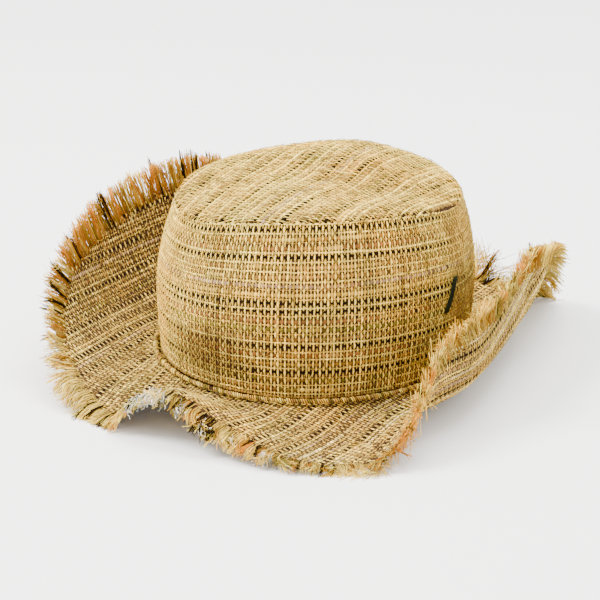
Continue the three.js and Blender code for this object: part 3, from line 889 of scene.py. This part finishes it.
def make_roll():
    """Yarn ends wound over the seam: a ring of slanting wraps."""
    rng = np.random.default_rng(5)
    wraps = 520
    steps = 8
    turn0 = 2 * np.pi * np.arange(wraps) / wraps
    t = np.linspace(-0.15, 1.15, steps)
    lean = 2 * np.pi / wraps * 1.6
    turn = turn0[:, None] + lean * t[None, :]
    middle = roll_middle(turn.ravel())
    out = np.stack([np.cos(turn.ravel()), np.sin(turn.ravel()), np.zeros(turn.size)], -1)
    up = np.array([0.0, 0.0, 1.0])
    angle = (np.pi * (1.05 - 1.5 * np.broadcast_to(t, turn.shape))).ravel()
    normal = out * np.cos(angle)[:, None] + up * np.sin(angle)[:, None]
    grow = ROLL_RADIUS * (0.66 + 0.12 * rng.normal(0, 1, (wraps, 1)) + np.zeros((1, steps))).ravel()
    points = middle + normal * grow[:, None]
    along = np.gradient(points.reshape(wraps, steps, 3), axis=1).reshape(-1, 3)
    valid = np.ones((wraps, steps), bool)
    links, starts, ends = runs(valid, False)
    names = rng.choice(["cream", "straw", "fawn", "tan", "straw", "olive"], wraps)
    # The wraps' ends, where they tuck into the seam, are painted darker as shade.
    shade = (1 + 0.2 * rng.normal(0, 1, (wraps, steps, 1))) * np.where(np.arange(steps) % 7 == 0, 0.5, 1)[None, :, None]
    colour = np.array([DYES[k] for k in names])[:, None] * shade
    wide = (0.7 + 0.16 * rng.normal(0, 1, (wraps, 1)) + np.zeros((1, steps))).ravel()
    thick = np.full(turn.size, 0.6)
    ring = tubes("base_roll_wraps", points, along, normal, wide, thick, np.clip(colour, 0, 1).reshape(-1, 3),
                 links, starts, ends, 5, YARN, "base_roll")
    # Core of the roll, in the dark finish painted as the shade between the wraps
    form = bmesh.new()
    bmesh.ops.create_grid(form, x_segments=192, y_segments=10, size=0.5)
    flat = np.array([v.co[:] for v in form.verts]) + 0.5
    round_head = 2 * np.pi * flat[:, 0]
    round_roll = 2 * np.pi * flat[:, 1]
    centre = roll_middle(round_head)
    outward = np.stack([np.cos(round_head), np.sin(round_head), np.zeros(len(flat))], -1)
    core = ROLL_RADIUS * 0.58
    where = centre + core * (outward * np.cos(round_roll)[:, None] + up * np.sin(round_roll)[:, None])
    for vertex, point in zip(form.verts, (where + SHIFT) * MM):
        vertex.co = point
    bmesh.ops.remove_doubles(form, verts=form.verts, dist=0.00001)
    bmesh.ops.recalc_face_normals(form, faces=form.faces)
    mesh = bpy.data.meshes.new("base_roll_core")
    form.to_mesh(mesh)
    form.free()
    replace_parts(make_object("base_roll_core", mesh, GROUND), "base_roll")
    return ring


make_roll()


# ---- Frayed edge

def edge_frame(turn):
    step = 0.01
    along = brim_middle(turn, 1.0) - brim_middle(turn, 0.99)
    around = brim_middle(turn + step, 1.0) - brim_middle(turn - step, 1.0)
    around /= np.linalg.norm(around, axis=-1, keepdims=True)
    normal = np.cross(along, around)
    normal /= np.linalg.norm(normal, axis=-1, keepdims=True)
    out = np.cross(around, normal)
    return brim_middle(turn, 1.0), out, normal, around


# The fringe every fifteen degrees: shares of gold, cream, olive and black, how shaggy it is, how much
# of its length is left, how far it hangs and how frizzy its fibres are
FRINGE_ROWS = np.array([
    (0.56, 0.12, 0.30, 0.02, 0.7, 0.7, 0.0, 1.0), (0.50, 0.28, 0.20, 0.02, 0.5, 0.7, 0.0, 0.9),
    (0.34, 0.54, 0.08, 0.04, 0.4, 0.58, 0.0, 0.6), (0.14, 0.76, 0.04, 0.06, 0.4, 0.7, 0.3, 0.4),
    (0.22, 0.56, 0.10, 0.12, 0.5, 1.0, 0.9, 0.5), (0.40, 0.38, 0.06, 0.16, 0.7, 1.3, -0.5, 0.5),
    (0.50, 0.35, 0.05, 0.10, 0.6, 1.0, -0.2, 0.4), (0.60, 0.25, 0.05, 0.10, 0.5, 1.0, 0.0, 0.4),
    (0.74, 0.12, 0.12, 0.02, 0.3, 1.0, 0.0, 0.2), (0.78, 0.06, 0.14, 0.02, 0.1, 1.0, 0.0, 0.1),
    (0.74, 0.06, 0.18, 0.02, 0.1, 1.05, 0.0, 0.1), (0.72, 0.08, 0.18, 0.02, 0.1, 1.1, 0.0, 0.1),
    (0.74, 0.12, 0.10, 0.04, 0.2, 1.15, 0.0, 0.1), (0.66, 0.22, 0.08, 0.04, 0.4, 0.95, 0.0, 0.2),
    (0.56, 0.40, 0.02, 0.02, 0.7, 0.75, 0.0, 0.4), (0.34, 0.62, 0.02, 0.02, 0.8, 0.8, 0.0, 0.3),
    (0.34, 0.54, 0.08, 0.04, 0.9, 0.65, 0.1, 0.4), (0.42, 0.36, 0.12, 0.10, 1.0, 0.5, 0.2, 0.7),
    (0.46, 0.28, 0.12, 0.14, 1.0, 0.7, 0.1, 0.5), (0.52, 0.24, 0.12, 0.12, 1.0, 0.65, 0.0, 0.5),
    (0.60, 0.26, 0.10, 0.04, 0.9, 1.25, 0.0, 0.6), (0.50, 0.26, 0.24, 0.00, 0.9, 0.75, 0.0, 0.9),
    (0.52, 0.16, 0.32, 0.00, 0.8, 0.6, 0.0, 1.0), (0.56, 0.12, 0.32, 0.00, 0.7, 0.6, 0.0, 1.0),
])

# Turns of the head, in degrees, where dark yarn ends stick out of the fringe
DARK_ENDS = (
    12, 16, 25, 44, 57, 58, 63, 70, 72, 96, 108, 125, 137, 142, 143.5, 147, 156, 174.5, 176, 191, 199,
    203, 205, 207, 233, 235, 240, 249, 250, 253, 260, 262, 265, 266, 267, 275, 277, 285, 289, 291, 305,
    309, 322,
)
# The same for tufts of white wadding
WADDING = (
    (249, "white"), (250.5, "grey"), (251.5, "white"), (253, "white"), (254, "white"), (255.5, "white"),
    (257, "grey"), (261, "grey"), (265.5, "black"), (266.2, "white"), (267.2, "black"), (267.8, "black"),
    (272, "grey"), (279, "white"),
)
CLUMP_PITCH = 1.8             # one frayed yarn end to the next
CLUMP_FIBRES = 12
DARK_FIBRES = 9
FIBRE_THICK = 0.5


def along_edge():
    """Length along the brim's edge at each of many turns."""
    turn = np.linspace(0, 2 * np.pi, 1441)
    rim = brim_middle(turn, 1.0)
    return turn, np.concatenate([[0], np.cumsum(np.linalg.norm(np.diff(rim, axis=0), axis=1))])


def fray(angle, forward, sideways, upward, tips):
    """Places of the points of loose fibres, from steps out of, along and off the cloth's edge."""
    point, out, normal, around = edge_frame(angle)
    where = (
        point[:, None]
        + out[:, None] * forward[..., None]
        + around[:, None] * sideways[..., None]
        + normal[:, None] * upward[..., None]
    )
    free = np.clip(forward, 0, None)
    hang = brim_value(angle, DROOP) + ring_value(FRINGE_ROWS[:, 6], angle)
    where[..., 2] -= hang[:, None] * free * (0.6 + 0.8 * tips)
    floor = 0.3 + 0.35 * np.mod(angle * 997, 1)[:, None]
    where[..., 2] = np.maximum(where[..., 2], floor)
    return where, normal


def make_fringe():
    """Every yarn ends in a clump of fibres, and some dark yarns stick out of them."""
    rng = np.random.default_rng(71)
    turn, length = along_edge()
    total = length[-1]
    plain = int(total / CLUMP_PITCH)
    dark_at = np.interp(np.radians(DARK_ENDS), turn, length)
    clump_at = np.concatenate([(np.arange(plain) + 0.5) / plain * total, dark_at])
    clumps = len(clump_at)
    dark = np.arange(clumps) >= plain
    clump_turn = np.interp(clump_at, length, turn)
    shag = ring_value(FRINGE_ROWS[:, 4], clump_turn)
    wild = (rng.random(clumps) < 0.2) & (shag > 0.4)
    clump_lean = rng.normal(0, 1, clumps) * (0.04 + 0.3 * shag ** 2) * np.where(wild, 1.8, 1)
    clump_lift = rng.normal(0, 1, clumps) * (0.04 + 0.16 * shag) * np.where(wild, 1.8, 1)
    clump_long = 1 + rng.normal(0, 1, clumps) * (0.05 + 0.18 * shag)
    clump_long = np.clip(clump_long, 0.45, 1.4) * np.where(dark, 1.15, 0.95)
    weights = np.clip(np.stack([ring_value(FRINGE_ROWS[:, k], clump_turn) for k in range(4)], -1), 0, 1)
    weights /= weights.sum(1, keepdims=True)
    # Neighbouring ends often share a dye, so the draw drifts slowly round the edge.
    knots = np.arange(0, total + 12, 7)
    slow = np.interp(clump_at, knots, rng.random(len(knots)))
    draw = np.clip(0.6 * slow + 0.4 * rng.random(clumps), 0, 0.999)
    kind = (draw[:, None] > np.cumsum(weights, 1)).sum(1)
    names = np.array(["gold", "cream", "olive", "black"])[np.clip(kind, 0, 3)]
    yellow = names == "gold"
    names[yellow] = rng.choice(["gold", "amber", "ochre", "amber", "gold"], yellow.sum())
    names[dark] = "black"

    which = np.concatenate([
        np.repeat(np.arange(plain), CLUMP_FIBRES), np.repeat(np.arange(plain, clumps), DARK_FIBRES)
    ])
    fibres = len(which)
    steps = 5
    t = np.linspace(0, 1, steps)[None, :]
    frizz = np.clip(ring_value(FRINGE_ROWS[:, 7], clump_turn), 0, 1)[which] * ~dark[which]
    spread_at = np.where(dark[which], 0.3, 0.85 - 0.3 * shag[which] + 0.7 * frizz)
    at = clump_at[which] + rng.normal(0, 1, fibres) * spread_at
    angle = np.interp(np.mod(at, total), length, turn)
    reach = brim_value(angle, FRINGE) * FRINGE_LENGTH * clump_long[which]
    reach = reach * ring_value(FRINGE_ROWS[:, 5], angle)
    reach = reach * np.clip(1 + rng.normal(0, 1, fibres) * (0.05 + 0.1 * shag[which]), 0.5, 1.25) + 0.8
    inside = rng.uniform(2.0, 6.5, fibres)
    lean = clump_lean[which] + rng.normal(0, 1, fibres) * (0.03 + 0.07 * shag[which] + 0.2 * frizz)
    lift = clump_lift[which] + rng.normal(0, 1, fibres) * (0.03 + 0.07 * shag[which] + 0.12 * frizz)
    curl = rng.normal(0, 1, clumps)[which] * (1 - 0.5 * frizz) + rng.normal(0, 0.5, fibres) * (1 + 2 * frizz)
    curl = curl * (0.05 + 0.3 * shag[which])
    curl = curl * np.where(dark[which], 0.25, 1)
    forward = -inside[:, None] + (reach + inside)[:, None] * t
    free = np.clip(forward, 0, None)
    sideways = lean[:, None] * free + curl[:, None] * free ** 2 / 9
    off_cloth = rng.uniform(-0.9, 0.9, (fibres, 1)) + 0.8 * dark[which][:, None]
    upward = lift[:, None] * free + off_cloth + curl[:, None] * 0.5 * free ** 2 / 11
    where, normal = fray(angle, forward, sideways, upward, t)
    along = np.gradient(where, axis=1).reshape(-1, 3)
    clump_dye = np.array([DYES[k] for k in names])
    clump_dye = clump_dye * np.clip(1 + rng.normal(0, 0.24, (clumps, 1)), 0.5, 1.4)
    other = np.array([DYES[k] for k in rng.choice(["gold", "amber", "amber", "olive", "tan", "cream"], fibres)])
    mix = rng.random((fibres, 1)) * np.where(names[which] == "black", 0.03, 0.6)[:, None]
    colour = (clump_dye[which] * (1 - mix) + other * mix) * np.clip(1 + rng.normal(0, 0.16, (fibres, 1)), 0.5, 1.4)
    # Light reaches the tips of the fibres more than their roots.
    depth = np.clip(0.62 + 0.42 * free / (reach[:, None] + 0.01), 0, 1.04)
    colour = np.clip(colour[:, None] * depth[..., None], 0, 1)
    thick = FIBRE_THICK * (0.8 + 0.45 * rng.random((fibres, 1))) * (1.1 - 0.35 * t)
    links, starts, ends = runs(np.ones((fibres, steps), bool), False)
    piece = tubes(
        "brim_fringe_ends", where.reshape(-1, 3), along, np.repeat(normal, steps, axis=0),
        thick.ravel(), thick.ravel() * 0.8, colour.reshape(-1, 3), links, starts, ends, 3, LOOSE, "brim_fringe",
    )
    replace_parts(piece, "brim_fringe")
    return piece


def make_wadding():
    """Tufts of white and dark fluff caught in the frayed edge."""
    rng = np.random.default_rng(83)
    per = 50
    which = np.repeat(np.arange(len(WADDING)), per)
    fibres = len(which)
    steps = 6
    angle = np.radians(np.array([row[0] for row in WADDING])[which] + rng.normal(0, 0.45, fibres))
    walk = np.cumsum(rng.normal(0, 0.55, (fibres, steps, 3)), axis=1)
    start = rng.normal(0, 1.0, (fibres, 3)) + np.array([2.6, 0, -0.3])
    place = start[:, None] + walk
    t = np.linspace(0, 1, steps)[None, :]
    where, normal = fray(angle, place[..., 0], place[..., 1], place[..., 2], t)
    along = np.gradient(where, axis=1).reshape(-1, 3)
    kinds = {
        "white": ["white", "white", "white", "grey", "cream"],
        "grey": ["grey", "white", "grey", "olive", "black"],
        "black": ["black", "black", "black", "brown"],
    }
    names = [rng.choice(kinds[WADDING[k][1]]) for k in which]
    colour = np.array([DYES[k] for k in names]) * np.clip(1 + rng.normal(0, 0.12, (fibres, 1)), 0.5, 1.15)
    colour = np.repeat(np.clip(colour, 0, 1), steps, axis=0)
    thick = np.repeat(0.25 + 0.3 * rng.random(fibres), steps)
    links, starts, ends = runs(np.ones((fibres, steps), bool), False)
    tubes("brim_fringe_wadding", where.reshape(-1, 3), along, np.repeat(normal, steps, axis=0),
          thick, thick * 0.8, colour, links, starts, ends, 4, LOOSE, "brim_fringe")


make_wadding()
make_fringe()


# ---- Dark thread end on the side seam

def make_thread():
    rng = np.random.default_rng(9)
    strands = 11
    steps = 9
    t = np.linspace(0, 1, steps)
    turn = np.radians(THREAD_TURN + THREAD_SLANT * t)
    height = THREAD_FOOT + THREAD_RISE / CROWN_HEIGHT * t
    spread_mm = (np.arange(strands) - (strands - 1) / 2) * 0.44
    points = []
    for offset in spread_mm:
        bow = offset * (0.8 + 0.2 * np.sin(np.pi * np.clip(t * 1.1, 0, 1))) + 0.12 * rng.normal(0, 1, steps)
        points.append(crown_point(turn + bow / 88, height, -0.45 - 0.1 * rng.random(steps)))
    points = np.array(points)
    along = np.gradient(points, axis=1).reshape(-1, 3)
    out = np.tile(np.stack([np.cos(turn), np.sin(turn), np.zeros(steps)], -1), (strands, 1))
    links, starts, ends = runs(np.ones((strands, steps), bool), False)
    colour = np.tile(paint(30, 34, 20), (strands * steps, 1)) * (1 + 0.3 * rng.random((strands * steps, 1)))
    wide = np.full(strands * steps, 0.62)
    piece = tubes("seam_thread_strands", points.reshape(-1, 3), along, out, wide, wide * 0.8,
                  colour, links, starts, ends, 5, LOOSE, "seam_thread")
    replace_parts(piece, "seam_thread")
    return piece


make_thread()


# ---- Table, light and camera

def make_stage():
    form = bmesh.new()
    bmesh.ops.create_grid(form, x_segments=1, y_segments=1, size=4)
    mesh = bpy.data.meshes.new("table_top")
    form.to_mesh(mesh)
    form.free()
    floor = bpy.data.objects.new("table_top", mesh)
    bpy.context.collection.objects.link(floor)
    material, nodes, links, shader = finish_nodes("pale_table")
    where = nodes.new("ShaderNodeTexCoord").outputs["Object"]
    shade = noise(nodes, links, where, 3, 2, 0.5)
    ramp = nodes.new("ShaderNodeMix")
    ramp.data_type = "RGBA"
    ramp.inputs["A"].default_value = (0.93, 0.93, 0.93, 1)
    ramp.inputs["B"].default_value = (0.95, 0.95, 0.95, 1)
    links.new(shade, ramp.inputs["Factor"])
    links.new(ramp.outputs["Result"], shader.inputs["Base Color"])
    shader.inputs["Roughness"].default_value = 0.9
    mesh.materials.append(material)
    world = bpy.data.worlds.new("studio")
    bpy.context.scene.world = world
    world.use_nodes = True
    back = world.node_tree.nodes["Background"]
    back.inputs["Color"].default_value = (1, 1, 1, 1)
    back.inputs["Strength"].default_value = 2.45


def add_lamp(name, place, target, size, power, colour=(1, 1, 1)):
    data = bpy.data.lights.new(name, "AREA")
    data.shape = "DISK"
    data.size = size
    data.energy = power
    data.color = colour
    lamp = bpy.data.objects.new(name, data)
    bpy.context.collection.objects.link(lamp)
    lamp.location = place
    lamp.rotation_euler = (Vector(target) - Vector(place)).to_track_quat("-Z", "Y").to_euler()


def add_camera():
    azimuth = math.radians(18)
    rise = math.radians(18)
    back = Vector((math.sin(azimuth) * math.cos(rise), -math.cos(azimuth) * math.cos(rise), math.sin(rise)))
    right = Vector((math.cos(azimuth), math.sin(azimuth), 0))
    up = back.cross(right)
    seen_scale = 1.745           # picture points for a millimetre at the crown
    foot = Vector((SHIFT[0], SHIFT[1], FOOT_RISE)) * MM
    aim = foot - right * (15 / seen_scale * MM) + up * (43 / seen_scale * MM)
    data = bpy.data.cameras.new("camera")
    data.sensor_width = 36
    data.lens = 157
    data.clip_end = 50
    camera = bpy.data.objects.new("camera", data)
    bpy.context.collection.objects.link(camera)
    camera.location = aim + back * 1.5
    camera.rotation_euler = (-back).to_track_quat("-Z", "Y").to_euler()
    bpy.context.scene.camera = camera


make_stage()
add_lamp("key_light", (-1.1, -0.7, 1.7), (0, 0, 0.05), 1.0, 100, (1.0, 0.97, 0.92))
add_lamp("top_light", (0.3, 0.4, 1.9), (0, 0, 0.05), 1.2, 54)
add_camera()
